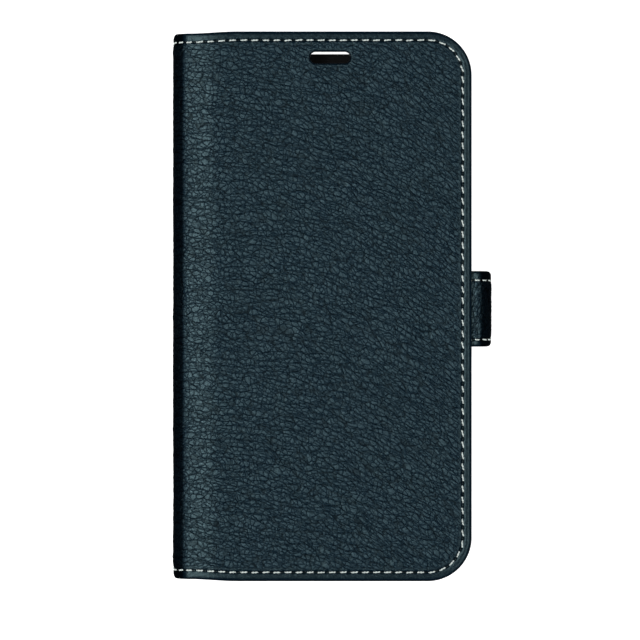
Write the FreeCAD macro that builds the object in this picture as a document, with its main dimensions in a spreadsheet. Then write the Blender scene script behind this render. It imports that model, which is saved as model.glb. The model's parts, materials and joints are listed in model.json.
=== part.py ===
"""A book-style phone wallet case, closed and lying on its back.

+X runs from the spine to the clasp, +Y to the top of the phone, +Z out of the front cover.
The origin is under the middle of the closed case, on the surface that it lies on. Millimetres.
"""

import FreeCAD, Part

import math
import os
import re

import Sketcher
from FreeCAD import Vector

doc = FreeCAD.newDocument("phone_wallet_case")

# ---------------------------------------------------------------- driving dimensions

SIZES = {
    # the covers
    "half_height": 82.3,
    "spine_face": -47.9,
    "fold_line": -42.5,
    "cover_edge": 41.9,
    "cover_corner": 13.1,
    "spine_taper": 0.6,
    "taper_start": -28.0,
    # the layers of each cover
    "leather": 1.0,
    "board": 0.9,
    "lining": 0.5,
    "board_inset": 4.2,
    "lining_inset": 0.4,
    "total_depth": 17.7,
    # the spine
    "fold_outer": 5.4,
    "fold_inner": 4.3,
    "fold_lining_outer": 3.5,
    "fold_lining_inner": 3.0,
    "spine_board_inset": 2.5,
    # the seams
    "seam_inset": 2.7,
    "groove_width": 0.9,
    "groove_depth": 0.4,
    "stitch_pitch": 3.3,
    "stitch_length": 2.4,
    "stitch_width": 0.55,
    "stitch_height": 0.35,
    # the earpiece slot in the front cover
    "phone_middle": -0.45,
    "slot_length": 12.4,
    "slot_width": 3.9,
    "slot_middle": 74.55,
    "slot_corner": 1.8,
    # the phone holder: a tray glued to the back cover
    "adhesive": 0.2,
    "glue_inset": 4.0,
    "holder_floor": 1.1,
    "holder_wall": 1.2,
    "phone_width": 78.2,
    "phone_length": 158.4,
    "phone_depth": 8.3,
    "phone_corner": 11.0,
    "lip_depth": 0.9,
    "lip_reach": 1.1,
    "lip_round": 0.4,
    "floor_round": 0.9,
    "side_cut_low": 2.2,
    "side_cut_depth": 6.0,
    "side_cut_corner": 1.5,
    "port_length": 46.0,
    "power_middle": 32.0,
    "power_length": 22.0,
    "volume_middle": 28.0,
    "volume_length": 40.0,
    # the finger notch in the top edge and the camera window
    "notch_half": 10.5,
    "notch_bottom": 76.4,
    "notch_corner": 2.0,
    "window_left": 12.5,
    "window_right": 35.5,
    "window_bottom": 46.0,
    "window_top": 75.5,
    "window_corner": 6.0,
    "window_hem": 1.2,
    # the clasp strap
    "strap_top": 10.6,
    "strap_bottom": -12.1,
    "strap_start": 42.05,
    "strap_root_end": 28.5,
    "strap_tip_end": 28.5,
    "strap_gauge": 2.1,
    "strap_lining": 0.3,
    "strap_bend": 4.8,
    "strap_low": 1.5,
    "strap_high": 14.1,
    "strap_corner": 3.0,
    "strap_seam_top": 2.8,
    "strap_seam_bottom": 2.0,
    "strap_stitch_pitch": 2.5,
    "strap_stitch_length": 1.9,
    # the magnet in the strap's tip and the steel keeper in the front cover
    "magnet_left": 30.5,
    "magnet_right": 38.5,
    "magnet_half": 7.5,
    "magnet_gauge": 0.9,
    "keeper_left": 29.5,
    "keeper_right": 36.5,
    "keeper_half": 8.5,
    "keeper_gauge": 0.8,
    # the cash sleeve and the card pockets inside the front cover
    "pocket_gauge": 0.5,
    "pocket_back": -39.0,
    "sleeve_mouth": 27.3,
    "sleeve_half": 70.0,
    "card_half": 44.5,
    "card_step": 6.0,
    "card_corner": 2.5,
    "pocket_seam_inset": 1.6,
}

sheet = doc.addObject("Spreadsheet::Sheet", "sizes")
for row, (alias, value) in enumerate(SIZES.items(), start=1):
    sheet.set(f"A{row}", alias)
    sheet.set(f"B{row}", str(value))
    sheet.setAlias(f"B{row}", alias)
doc.recompute()


def bound(expression):
    """The expression with each name made a reference to its cell."""
    return re.sub(r"[a-z][a-z_]*", lambda word: f"sizes.{word.group()}", expression)


def number(expression):
    """The expression's value in millimetres."""
    return float(sheet.evalExpression(bound(expression)))


# places that several pieces share, as expressions in the sheet's names
BOARD_Z = "leather"
LINING_Z = "leather + board"
HOLDER_Z = "leather + board + lining + adhesive"
HOLDER_DEPTH = "holder_floor + phone_depth + lip_depth"
FRONT_LEATHER_Z = "total_depth - leather - board"
FRONT_LINING_Z = "total_depth - leather - board - lining"
STRAP_MIDDLE = "(strap_top + strap_bottom) / 2"
STRAP_WIDTH = "strap_top - strap_bottom"
STRAP_SHELL = "strap_gauge - strap_lining"
STRAP_FACE = "strap_start + strap_bend + strap_gauge / 2"
SEAM_X = "cover_edge - seam_inset"
SEAM_Y = "half_height - seam_inset"
SEAM_CORNER = "cover_corner - seam_inset"


# ---------------------------------------------------------------- sketches and features


def corner(x, y, radius=None):
    """A corner of an outline: its place and, where it is rounded, its radius."""
    return {"x": x, "y": y, "radius": radius}


def towards(point, other, radius):
    """The place a radius away from point, along the edge to other, which runs along X or Y."""
    across = number(other["x"]) - number(point["x"])
    along = number(other["y"]) - number(point["y"])
    if abs(across) > abs(along):
        sign = "+" if across > 0 else "-"
        return f"{point['x']} {sign} ({radius})", point["y"]
    sign = "+" if along > 0 else "-"
    return point["x"], f"{point['y']} {sign} ({radius})"


def pathway(corners):
    """The outline as stops (x, y, radius of the arc to the next stop or None)."""
    stops = []
    for place, point in enumerate(corners):
        if point["radius"] is None:
            stops.append((point["x"], point["y"], None))
            continue
        before = corners[place - 1]
        after = corners[(place + 1) % len(corners)]
        stops.append((*towards(point, before, point["radius"]), point["radius"]))
        stops.append((*towards(point, after, point["radius"]), None))
    return stops


def draw(sketch, stops):
    """Closes a loop through the stops, each tied to the sheet. A radius with a minus bulges inwards."""
    places = [Vector(number(x), number(y), 0) for x, y, radius in stops]
    turn = sum(a.x * b.y - b.x * a.y for a, b in zip(places, places[1:] + places[:1]))
    ends = []
    for place, (x, y, radius) in enumerate(stops):
        start = places[place]
        stop = places[(place + 1) % len(places)]
        if radius is None:
            edge = sketch.addGeometry(Part.LineSegment(start, stop))
            ends.append((edge, 1, 2))
            continue
        hollow = radius.startswith("-")
        size = abs(number(radius))
        clockwise = (turn < 0) != hollow
        half = (stop - start) / 2
        reach = math.sqrt(max(size**2 - half.Length**2, 0))
        side = Vector(half.y, -half.x, 0) if clockwise else Vector(-half.y, half.x, 0)
        centre = start + half + side.normalize() * reach
        begin = math.atan2(start.y - centre.y, start.x - centre.x)
        finish = math.atan2(stop.y - centre.y, stop.x - centre.x)
        if clockwise:
            begin, finish = finish, begin
        circle = Part.Circle(centre, Vector(0, 0, 1), size)
        edge = sketch.addGeometry(Part.ArcOfCircle(circle, begin, finish))
        ends.append((edge, 2, 1) if clockwise else (edge, 1, 2))
    for place, (edge, begin, finish) in enumerate(ends):
        following = ends[(place + 1) % len(ends)]
        sketch.addConstraint(Sketcher.Constraint("Coincident", edge, finish, following[0], following[1]))
    for (x, y, radius), (edge, begin, finish), spot in zip(stops, ends, places):
        tie(sketch, Sketcher.Constraint("DistanceX", edge, begin, spot.x), x)
        tie(sketch, Sketcher.Constraint("DistanceY", edge, begin, spot.y), y)
        if radius is not None:
            size = radius.lstrip("-")
            tie(sketch, Sketcher.Constraint("Radius", edge, number(size)), size)


def tie(sketch, constraint, expression):
    """Adds a constraint whose size comes from the sheet."""
    index = sketch.addConstraint(constraint)
    sketch.setExpression(f"Constraints[{index}]", bound(expression))


def new_body(label):
    """An empty body, named for the piece it holds."""
    made = doc.addObject("PartDesign::Body", label)
    made.Label = label
    return made


def new_sketch(owner, plane, loops, lift="0"):
    """A sketch on one of the body's own planes, raised along the plane's normal."""
    origin = next(f for f in owner.Origin.OriginFeatures if f.Role == plane)
    sketch = owner.newObject("Sketcher::SketchObject", f"{owner.Label}_sketch")
    sketch.AttachmentSupport = [(origin, "")]
    sketch.MapMode = "FlatFace"
    sketch.setExpression("AttachmentOffset.Base.z", bound(lift))
    for loop in loops:
        draw(sketch, loop)
    return sketch


def pad(owner, plane, loops, length, lift="0", both_ways=False):
    """Pads the loops along the plane's normal, or to both sides of it."""
    feature = owner.newObject("PartDesign::Pad", f"{owner.Label}_pad")
    feature.Profile = new_sketch(owner, plane, loops, lift)
    feature.Midplane = both_ways
    feature.setExpression("Length", bound(length))
    doc.recompute()
    return feature


def pocket(owner, plane, loops, length, lift="0"):
    """Cuts the loops out of the body along the plane's normal, and makes sure that the cut took material."""
    before = owner.Shape.Volume
    feature = owner.newObject("PartDesign::Pocket", f"{owner.Label}_pocket")
    feature.Profile = new_sketch(owner, plane, loops, lift)
    feature.Reversed = True
    feature.setExpression("Length", bound(length))
    doc.recompute()
    if not owner.Shape.Volume < before - 0.01:
        raise RuntimeError(f"a pocket in {owner.Label} cuts nothing")
    return feature


def round_edges(owner, height, radius):
    """Rounds every level edge of the body at a height above its own base."""
    level = number(height)
    names = []
    for place, edge in enumerate(owner.Shape.Edges, start=1):
        box = edge.BoundBox
        if abs(box.ZMin - level) < 0.001 and abs(box.ZMax - level) < 0.001:
            names.append(f"Edge{place}")
    rounded = owner.Tip
    feature = owner.newObject("PartDesign::Fillet", f"{owner.Label}_fillet")
    feature.Base = (rounded, names)
    feature.setExpression("Radius", bound(radius))
    doc.recompute()


def raise_to(piece, height):
    """Puts the piece at its height in the stack."""
    piece.setExpression("Placement.Base.z", bound(height))


def plate(label, loops, thickness, height):
    """A flat sheet: the loops, padded, at a height in the stack."""
    made = new_body(label)
    pad(made, "XY_Plane", loops, thickness)
    raise_to(made, height)
    return made


# ---------------------------------------------------------------- outlines


def rectangle(left, right, bottom, top, radius=None):
    """A rectangle with all its corners alike."""
    spots = [(left, bottom), (right, bottom), (right, top), (left, top)]
    return pathway([corner(x, y, radius) for x, y in spots])


def cover_outline(inset="0", notch=False):
    """A cover's outline: tapered a little at the fold, round at the clasp side."""
    right = f"cover_edge - ({inset})"
    top = f"half_height - ({inset})"
    radius = f"cover_corner - ({inset})"
    tapered = f"half_height - spine_taper - ({inset})"
    corners = [
        corner("fold_line", f"-({tapered})"),
        corner("taper_start", f"-({top})"),
        corner(right, f"-({top})", radius),
        corner(right, top, radius),
    ]
    if notch:
        corners += notch_corners(top, inset)
    corners += [corner("taper_start", top), corner("fold_line", tapered)]
    return pathway(corners)


def notch_corners(top, hem):
    """The finger notch in the middle of a top edge, larger by the hem in the inner layers."""
    left = f"phone_middle - notch_half - ({hem})"
    right = f"phone_middle + notch_half + ({hem})"
    bottom = f"notch_bottom - ({hem})"
    return [
        corner(right, top),
        corner(right, bottom, "notch_corner"),
        corner(left, bottom, "notch_corner"),
        corner(left, top),
    ]


def window(hem="0"):
    """The camera window in the back, larger by the hem in the inner layers."""
    return rectangle(
        f"window_left - ({hem})",
        f"window_right + ({hem})",
        f"window_bottom - ({hem})",
        f"window_top + ({hem})",
        f"window_corner + ({hem})",
    )


def slot(hem="0"):
    """The earpiece slot in the front cover, larger by the hem in the board."""
    half_length = f"(slot_length / 2 + ({hem}))"
    half_width = f"(slot_width / 2 + ({hem}))"
    return rectangle(
        f"phone_middle - {half_length}",
        f"phone_middle + {half_length}",
        f"slot_middle - {half_width}",
        f"slot_middle + {half_width}",
        f"slot_corner + ({hem})",
    )


def board_outline(root_gap, notch):
    """A stiffening board inside the stitched rim. The back one makes room for the strap's root."""
    right = "cover_edge - board_inset"
    top = "half_height - board_inset"
    radius = "cover_corner - board_inset"
    left = "fold_line + window_hem"
    corners = [corner(left, f"-({top})"), corner(right, f"-({top})", radius)]
    if root_gap:
        corners += [
            corner(right, "strap_bottom"),
            corner("strap_root_end", "strap_bottom"),
            corner("strap_root_end", "strap_top"),
            corner(right, "strap_top"),
        ]
    corners.append(corner(right, top, radius))
    if notch:
        corners += notch_corners(top, "window_hem")
    corners.append(corner(left, top))
    return pathway(corners)


def seam_band():
    """The groove for a cover's thread: along the top, down the clasp side, back along the bottom."""
    half = "groove_width / 2"
    start = "fold_line + 1"
    outer_x = f"{SEAM_X} + {half}"
    outer_y = f"{SEAM_Y} + {half}"
    inner_x = f"{SEAM_X} - {half}"
    inner_y = f"{SEAM_Y} - {half}"
    outer_corner = f"{SEAM_CORNER} + {half}"
    inner_corner = f"{SEAM_CORNER} - {half}"
    return [
        (start, f"-({outer_y})", None),
        (f"{outer_x} - ({outer_corner})", f"-({outer_y})", outer_corner),
        (outer_x, f"-({outer_y}) + {outer_corner}", None),
        (outer_x, f"{outer_y} - ({outer_corner})", outer_corner),
        (f"{outer_x} - ({outer_corner})", outer_y, None),
        (start, outer_y, None),
        (start, inner_y, None),
        (f"{inner_x} - ({inner_corner})", inner_y, f"-({inner_corner})"),
        (inner_x, f"{inner_y} - ({inner_corner})", None),
        (inner_x, f"-({inner_y}) + {inner_corner}", f"-({inner_corner})"),
        (f"{inner_x} - ({inner_corner})", f"-({inner_y})", None),
        (start, f"-({inner_y})", None),
    ]


def bend_section(centre_x, centre_z, outer, inner, right, up):
    """A quarter ring between a flat layer and an upright one, in the XZ plane."""
    across = "+" if right else "-"
    along = "+" if up else "-"
    return [
        (centre_x, f"{centre_z} {along} ({outer})", outer),
        (f"{centre_x} {across} ({outer})", centre_z, None),
        (f"{centre_x} {across} ({inner})", centre_z, f"-({inner})"),
        (centre_x, f"{centre_z} {along} ({inner})", None),
    ]


# ---------------------------------------------------------------- threads


def seam_places():
    """Middles and directions of a cover's stitches, from the fold along the top and round to the fold."""
    x_start = number("fold_line + 1")
    corner_radius = number(SEAM_CORNER)
    straight = number(f"{SEAM_X} - ({SEAM_CORNER})") - x_start
    side = number(f"2 * ({SEAM_Y}) - 2 * ({SEAM_CORNER})")
    bend = corner_radius * math.pi / 2
    length = 2 * straight + 2 * bend + side
    count = int(length / number("stitch_pitch"))
    top = number(SEAM_Y)
    for turn in range(count):
        along = (turn + 0.5) * length / count
        mirrored = along > length / 2
        if mirrored:
            along = length - along
        if along < straight:
            place, heading = (x_start + along, top), 0.0
        elif along < straight + bend:
            swept = (along - straight) / corner_radius
            centre = (x_start + straight, top - corner_radius)
            place = (
                centre[0] + corner_radius * math.sin(swept),
                centre[1] + corner_radius * math.cos(swept),
            )
            heading = -math.degrees(swept)
        else:
            down = along - straight - bend
            place, heading = (number(SEAM_X), top - corner_radius - down), -90.0
        if mirrored:
            place, heading = (place[0], -place[1]), -heading
        yield place, heading


def stitch(length, x, y, z, heading):
    """One stitch: a short flat thread with its middle over x and y, lying on z."""
    width = number("stitch_width")
    thread = Part.makeBox(length, width, number("stitch_height"), Vector(-length / 2, -width / 2, 0))
    thread.rotate(Vector(0, 0, 0), Vector(0, 0, 1), heading)
    thread.translate(Vector(x, y, z))
    return thread


def thread_row(label, stitches):
    """All the stitches of one seam, as separate solids in one piece."""
    made = doc.addObject("Part::Feature", label)
    made.Label = label
    made.Shape = Part.makeCompound(stitches)
    return made


# ---------------------------------------------------------------- the back cover


def make_back():
    leather = plate("back_leather", [cover_outline(notch=True), window()], "leather + board", "0")
    pocket(leather, "XY_Plane", [board_outline(True, True), window("window_hem")], "board + 1", BOARD_Z)
    root = rectangle("strap_root_end", "cover_edge + 1", "strap_bottom", "strap_top")
    pocket(leather, "XY_Plane", [root], "board + 1", BOARD_Z)
    pocket(leather, "XY_Plane", [seam_band()], "groove_depth")
    board = plate(
        "back_board", [board_outline(True, True), window("window_hem")], "board", BOARD_Z
    )
    lining = plate(
        "back_lining", [cover_outline("lining_inset", notch=True), window()], "lining", LINING_Z
    )
    root = rectangle("strap_root_end", "strap_start", "strap_bottom", "strap_top")
    strap_root = plate("strap_root", [root], "board", BOARD_Z)
    notch_reach = number("notch_half") + number("seam_inset")
    middle = number("phone_middle")
    stitches = [
        stitch(number("stitch_length"), x, y, number("groove_depth - stitch_height"), heading)
        for (x, y), heading in seam_places()
        if y < 0 or abs(x - middle) > notch_reach or heading
    ]
    return [leather, board, lining, strap_root, thread_row("back_stitching", stitches)]


def holder_outline(grow, radius):
    """An outline around the phone's place, larger by grow on every side."""
    half_width = f"(phone_width / 2 + ({grow}))"
    half_length = f"(phone_length / 2 + ({grow}))"
    return rectangle(
        f"phone_middle - {half_width}",
        f"phone_middle + {half_width}",
        f"-{half_length}",
        half_length,
        radius,
    )


def make_holder():
    notch = pathway(notch_corners("half_height", "0"))
    glue = new_body("holder_adhesive")
    pad(glue, "XY_Plane", [holder_outline("-glue_inset", "phone_corner - glue_inset")], "adhesive")
    pocket(glue, "XY_Plane", [window("window_hem")], "adhesive + 1", "-0.5")
    raise_to(glue, "leather + board + lining")

    shell = new_body("holder_shell")
    outside = holder_outline("holder_wall", "phone_corner + holder_wall")
    pad(shell, "XY_Plane", [outside], HOLDER_DEPTH)
    pocket(
        shell,
        "XY_Plane",
        [holder_outline("-lip_reach", "phone_corner - lip_reach")],
        "phone_depth + lip_depth + 1",
        "holder_floor",
    )
    pocket(shell, "XY_Plane", [holder_outline("0", "phone_corner")], "phone_depth", "holder_floor")
    round_edges(shell, HOLDER_DEPTH, "lip_round")
    round_edges(shell, "0", "floor_round")
    pocket(shell, "XY_Plane", [window()], "holder_floor + 2", "-1")
    pocket(shell, "XY_Plane", [notch], f"{HOLDER_DEPTH} + 2", "-1")
    low = "holder_floor + side_cut_low - 1"
    high = f"{low} + side_cut_depth"
    port = rectangle(
        "phone_middle - port_length / 2",
        "phone_middle + port_length / 2",
        low,
        high,
        "side_cut_corner",
    )
    pocket(shell, "XZ_Plane", [port], "holder_wall + 2", "phone_length / 2 - 1")
    power = rectangle(
        "power_middle - power_length / 2",
        "power_middle + power_length / 2",
        low,
        high,
        "side_cut_corner",
    )
    pocket(shell, "YZ_Plane", [power], "holder_wall + 2", "phone_middle + phone_width / 2 - 1")
    volume = rectangle(
        "volume_middle - volume_length / 2",
        "volume_middle + volume_length / 2",
        low,
        high,
        "side_cut_corner",
    )
    pocket(
        shell,
        "YZ_Plane",
        [volume],
        "holder_wall + 2",
        "phone_middle - phone_width / 2 - holder_wall - 1",
    )
    raise_to(shell, HOLDER_Z)
    return [glue, shell]


# ---------------------------------------------------------------- the spine and the folds


def make_spine():
    low = "fold_outer"
    high = "total_depth - fold_outer"
    half = "half_height - spine_taper"
    leather = new_body("spine_leather")
    upright = rectangle(f"-({half})", half, low, high)
    pad(leather, "YZ_Plane", [upright], "fold_outer - fold_inner", "spine_face")
    for side in ("-", ""):
        middle = f"{side}({SEAM_Y})"
        groove = rectangle(f"{middle} - groove_width / 2", f"{middle} + groove_width / 2", low, high)
        pocket(leather, "YZ_Plane", [groove], "groove_depth", "spine_face")

    board = new_body("spine_board")
    short = f"{half} - spine_board_inset"
    pad(
        board,
        "YZ_Plane",
        [rectangle(f"-({short})", short, low, high)],
        "fold_inner - fold_lining_outer",
        "fold_line - fold_inner",
    )

    lining = new_body("spine_lining")
    trimmed = f"{half} - lining_inset"
    pad(
        lining,
        "YZ_Plane",
        [rectangle(f"-({trimmed})", trimmed, low, high)],
        "fold_lining_outer - fold_lining_inner",
        "fold_line - fold_lining_outer",
    )

    face = number("spine_face + groove_depth - stitch_height")
    rise = number(f"({high}) - ({low})")
    count = int(rise / number("stitch_pitch"))
    length = number("stitch_length")
    width = number("stitch_width")
    stitches = []
    for side in (-1, 1):
        for turn in range(count):
            middle = number(low) + (turn + 0.5) * rise / count
            spot = Vector(face, side * number(SEAM_Y) - width / 2, middle - length / 2)
            stitches.append(Part.makeBox(number("stitch_height"), width, length, spot))
    return [leather, board, lining, thread_row("spine_stitching", stitches)]


def make_folds():
    """The four strips that bend: leather outside and lining inside, at the front and at the back."""
    made = []
    half = "half_height - spine_taper"
    for side, centre_z, up in (
        ("front", "(total_depth - fold_outer)", True),
        ("back", "fold_outer", False),
    ):
        for layer, outer, inner, trim in (
            ("leather", "fold_outer", "fold_inner", "0"),
            ("lining", "fold_lining_outer", "fold_lining_inner", "lining_inset"),
        ):
            strip = new_body(f"{side}_fold_{layer}")
            section = bend_section("fold_line", centre_z, outer, inner, False, up)
            pad(strip, "XZ_Plane", [section], f"2 * ({half} - {trim})", both_ways=True)
            made.append(strip)
    return made


# ---------------------------------------------------------------- the front cover


def make_front():
    board_loops = [board_outline(False, False), slot("window_hem")]
    leather = plate("front_leather", [cover_outline(), slot()], "leather + board", FRONT_LEATHER_Z)
    pocket(leather, "XY_Plane", board_loops, "board + 1", "-1")
    pocket(leather, "XY_Plane", [seam_band()], "groove_depth + 1", "leather + board - groove_depth")
    keeper_loop = rectangle("keeper_left", "keeper_right", "-keeper_half", "keeper_half", "1")
    board = plate("front_board", [*board_loops, keeper_loop], "board", FRONT_LEATHER_Z)
    keeper = plate("keeper_plate", [keeper_loop], "keeper_gauge", FRONT_LEATHER_Z)
    lining = plate(
        "front_lining", [cover_outline("lining_inset"), slot()], "lining", FRONT_LINING_Z
    )
    face = number("total_depth - groove_depth")
    stitches = [
        stitch(number("stitch_length"), x, y, face, heading) for (x, y), heading in seam_places()
    ]
    return [leather, board, keeper, lining, thread_row("front_stitching", stitches)]


def make_pockets():
    """The cash sleeve against the lining, and three card pockets stepped down from it."""
    sleeve = plate(
        "cash_sleeve",
        [rectangle("pocket_back", "sleeve_mouth", "-sleeve_half", "sleeve_half", "card_corner")],
        "pocket_gauge",
        f"{FRONT_LINING_Z} - pocket_gauge",
    )
    made = [sleeve]
    for turn in (1, 2, 3):
        mouth = f"sleeve_mouth - {turn} * card_step"
        height = f"{FRONT_LINING_Z} - {turn + 1} * pocket_gauge"
        outline = rectangle("pocket_back", mouth, "-card_half", "card_half", "card_corner")
        made.append(plate(f"card_pocket_{turn}", [outline], "pocket_gauge", height))

    last = made[-1]
    left = "pocket_back + pocket_seam_inset"
    right = "sleeve_mouth - 3 * card_step - pocket_seam_inset"
    edge = "card_half - pocket_seam_inset"
    for row in (f"-({edge})", edge):
        groove = rectangle(left, right, f"{row} - groove_width / 2", f"{row} + groove_width / 2")
        pocket(last, "XY_Plane", [groove], "groove_depth + 1", "-1")

    pitch = number("stitch_pitch")
    start = number(left)
    run = number(f"{right} - ({left})")
    count = int(run / pitch)
    face = number(f"{FRONT_LINING_Z} - 4 * pocket_gauge + groove_depth - stitch_height")
    stitches = [
        stitch(number("stitch_length"), start + (turn + 0.5) * run / count, side * number(edge), face, 0)
        for side in (-1, 1)
        for turn in range(count)
    ]
    return [*made, thread_row("pocket_stitching", stitches)]


# ---------------------------------------------------------------- the clasp strap


def make_strap():
    """The strap stands in the back cover's edge, goes round the side and ends under the front cover."""
    made = []
    bend_outer = "strap_bend + strap_gauge / 2"
    bend_inner = "strap_bend - strap_gauge / 2"
    side_low = "(strap_low + strap_bend)"
    side_high = "(strap_high - strap_bend)"
    for label, centre_z, up in (
        ("strap_lower_bend", side_low, False),
        ("strap_upper_bend", side_high, True),
    ):
        bend = new_body(label)
        section = bend_section("strap_start", centre_z, bend_outer, bend_inner, True, up)
        pad(bend, "XZ_Plane", [section], STRAP_WIDTH, both_ways=True)
        bend.setExpression("Placement.Base.y", bound(STRAP_MIDDLE))
        made.append(bend)

    upright = rectangle("strap_bottom", "strap_top", side_low, side_high)
    leather = new_body("strap_side_leather")
    pad(leather, "YZ_Plane", [upright], STRAP_SHELL, f"{STRAP_FACE} - ({STRAP_SHELL})")
    lining = new_body("strap_side_lining")
    pad(lining, "YZ_Plane", [upright], "strap_lining", f"{STRAP_FACE} - strap_gauge")

    flap = pathway(
        [
            corner("strap_start", "strap_bottom"),
            corner("strap_start", "strap_top"),
            corner("strap_tip_end", "strap_top", "strap_corner"),
            corner("strap_tip_end", "strap_bottom", "strap_corner"),
        ]
    )
    under = "strap_high - strap_gauge / 2"
    tip_lining = plate("strap_tip_lining", [flap], "strap_lining", under)
    tip = plate("strap_tip_leather", [flap], STRAP_SHELL, f"{under} + strap_lining")
    magnet_loop = rectangle(
        "magnet_left",
        "magnet_right",
        f"{STRAP_MIDDLE} - magnet_half",
        f"{STRAP_MIDDLE} + magnet_half",
        "1",
    )
    pocket(tip, "XY_Plane", [magnet_loop], "magnet_gauge + 1", "-1")
    magnet = plate("clasp_magnet", [magnet_loop], "magnet_gauge", f"{under} + strap_lining")

    rows = ("strap_top - strap_seam_top", "strap_bottom + strap_seam_bottom")
    left = "strap_tip_end + strap_corner"
    for row in rows:
        loop = rectangle(left, "strap_start", f"{row} - groove_width / 2", f"{row} + groove_width / 2")
        pocket(tip, "XY_Plane", [loop], "groove_depth + 1", f"{STRAP_SHELL} - groove_depth")
    run = number(f"strap_start - ({left})")
    count = int(run / number("strap_stitch_pitch"))
    face = number("strap_high + strap_gauge / 2 - groove_depth")
    start = number(left)
    stitches = [
        stitch(number("strap_stitch_length"), start + (turn + 0.5) * run / count, number(row), face, 0)
        for row in rows
        for turn in range(count)
    ]
    made += [leather, lining, tip_lining, tip, magnet]
    return [*made, thread_row("strap_stitching", stitches)]


# ---------------------------------------------------------------- build, check and write

pieces = [
    *make_back(),
    *make_holder(),
    *make_spine(),
    *make_folds(),
    *make_front(),
    *make_pockets(),
    *make_strap(),
]
doc.recompute()

for item in doc.Objects:
    if "Invalid" in item.State or "Error" in item.State:
        raise RuntimeError(f"{item.Label} is in state {item.State}")
for piece in pieces:
    if piece.Shape.isNull() or not piece.Shape.isValid():
        raise RuntimeError(f"{piece.Label} has no valid shape")

os.makedirs("parts", exist_ok=True)
for piece in pieces:
    piece.Shape.exportStep(os.path.join("parts", f"{piece.Label}.step"))
    print(f"{piece.Label}: {len(piece.Shape.Solids)} solids, {piece.Shape.Volume:.1f} mm3")
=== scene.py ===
import json
import math

import bmesh
import bpy
import numpy as np
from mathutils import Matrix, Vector


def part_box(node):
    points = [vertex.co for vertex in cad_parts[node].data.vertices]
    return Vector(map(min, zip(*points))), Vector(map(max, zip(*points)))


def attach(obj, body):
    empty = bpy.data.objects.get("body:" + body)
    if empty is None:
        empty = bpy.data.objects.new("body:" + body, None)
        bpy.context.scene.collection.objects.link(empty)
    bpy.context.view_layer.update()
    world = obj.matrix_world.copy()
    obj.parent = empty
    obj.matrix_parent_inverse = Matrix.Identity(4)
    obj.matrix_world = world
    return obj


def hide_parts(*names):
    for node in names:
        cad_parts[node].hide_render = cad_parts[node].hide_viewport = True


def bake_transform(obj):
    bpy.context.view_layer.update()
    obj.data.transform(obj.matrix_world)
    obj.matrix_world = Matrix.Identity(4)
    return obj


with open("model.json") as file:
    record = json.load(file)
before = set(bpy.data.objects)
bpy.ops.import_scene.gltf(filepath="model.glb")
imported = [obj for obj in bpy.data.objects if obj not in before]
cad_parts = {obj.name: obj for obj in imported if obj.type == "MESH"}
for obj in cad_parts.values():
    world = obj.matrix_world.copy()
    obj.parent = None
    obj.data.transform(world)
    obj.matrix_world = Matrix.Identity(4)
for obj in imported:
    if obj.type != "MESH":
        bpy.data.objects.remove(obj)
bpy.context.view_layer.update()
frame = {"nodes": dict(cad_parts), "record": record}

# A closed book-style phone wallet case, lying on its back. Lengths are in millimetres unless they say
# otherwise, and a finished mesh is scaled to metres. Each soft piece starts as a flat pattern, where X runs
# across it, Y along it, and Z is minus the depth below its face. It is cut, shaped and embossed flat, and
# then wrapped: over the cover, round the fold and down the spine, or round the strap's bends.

MM = 0.001
rng = np.random.default_rng(11)


def box_mm(node):
    """A CAD node's lowest and highest corners in millimetres."""
    low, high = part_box(node)
    return np.array(low) / MM, np.array(high) / MM


# ---------------------------------------------------------------- sizes, from the frame where it has them

leather_low, leather_high = box_mm("front_leather")
FOLD_X, EDGE_X, HALF_Y, TOP = leather_low[0], leather_high[0], leather_high[1], leather_high[2]
RIM_DEPTH = TOP - leather_low[2]
LEATHER_GAUGE = TOP - box_mm("front_board")[1][2]
BOARD_INSET = EDGE_X - box_mm("front_board")[1][0]
SPINE_X = box_mm("spine_leather")[0][0]
FOLD_R = FOLD_X - SPINE_X
FOLD_ARC = FOLD_R * math.pi / 2
MID_SPINE = FOLD_X - FOLD_ARC - (TOP / 2 - FOLD_R)
lining_low, lining_high = box_mm("front_lining")
LINING_DEPTH = TOP - lining_low[2]
LINING_GAUGE = lining_high[2] - lining_low[2]
LINING_INSET = EDGE_X - lining_high[0]
CORNER = 13.1

SEAM_SPACING = 3.3
SEAM_INSET = 2.7
SEAM_LINE = EDGE_X - CORNER
SEAM_REACH = HALF_Y - CORNER
SEAM_RADIUS = CORNER - SEAM_INSET
SEAM_HALF = SEAM_REACH + SEAM_RADIUS * math.pi / 2 + SEAM_LINE - MID_SPINE
SEAM_COUNT = 2 * round(SEAM_HALF / SEAM_SPACING)
SEAM_PITCH = 2 * SEAM_HALF / SEAM_COUNT
SEAM_STITCH = 2.45
THREAD_DEPTH = 0.36

# the cover's edge rolls down, its ends draw in towards the spine, and it sinks along the crest of the fold,
# with one width of the hollow on the cover's side of the crest and another on the spine's
SHOULDER, SHOULDER_DROP = 1.35, 0.85
RIM_DROP = 0.22
TAPER, TAPER_START = 0.6, -28.0
END_ROUND = 0.25
CREST, CREST_DROP = -45.5, 0.95
CREST_WIDTH, CREST_WIDTH_SPINE = 7.0, 4.0

# across the pattern, each from none to all: the painted shade over the fold, and the start and end of the
# ridge beside it, which has a painted sheen
DARK_FOLD = (44.3, 45.6)
RIDGE_START, RIDGE_END = (-45.2, -44.0), (-37.5, -33.5)

# how far apart the points of each kind of piece are, and how deep its grain is embossed
SKIN_STEP, STRAP_STEP, POCKET_STEP, LINING_STEP = 0.43, 0.25, 0.5, 1.1
SKIN_EMBOSS, STRAP_EMBOSS, POCKET_EMBOSS = 0.22, 0.12, 0.05
EMBOSS_CREASE, SHADER_CREASE = 0.34, 0.12
GRAIN_SLANT, GRAIN_SLANT_START = 0.0039, -48.0

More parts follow.
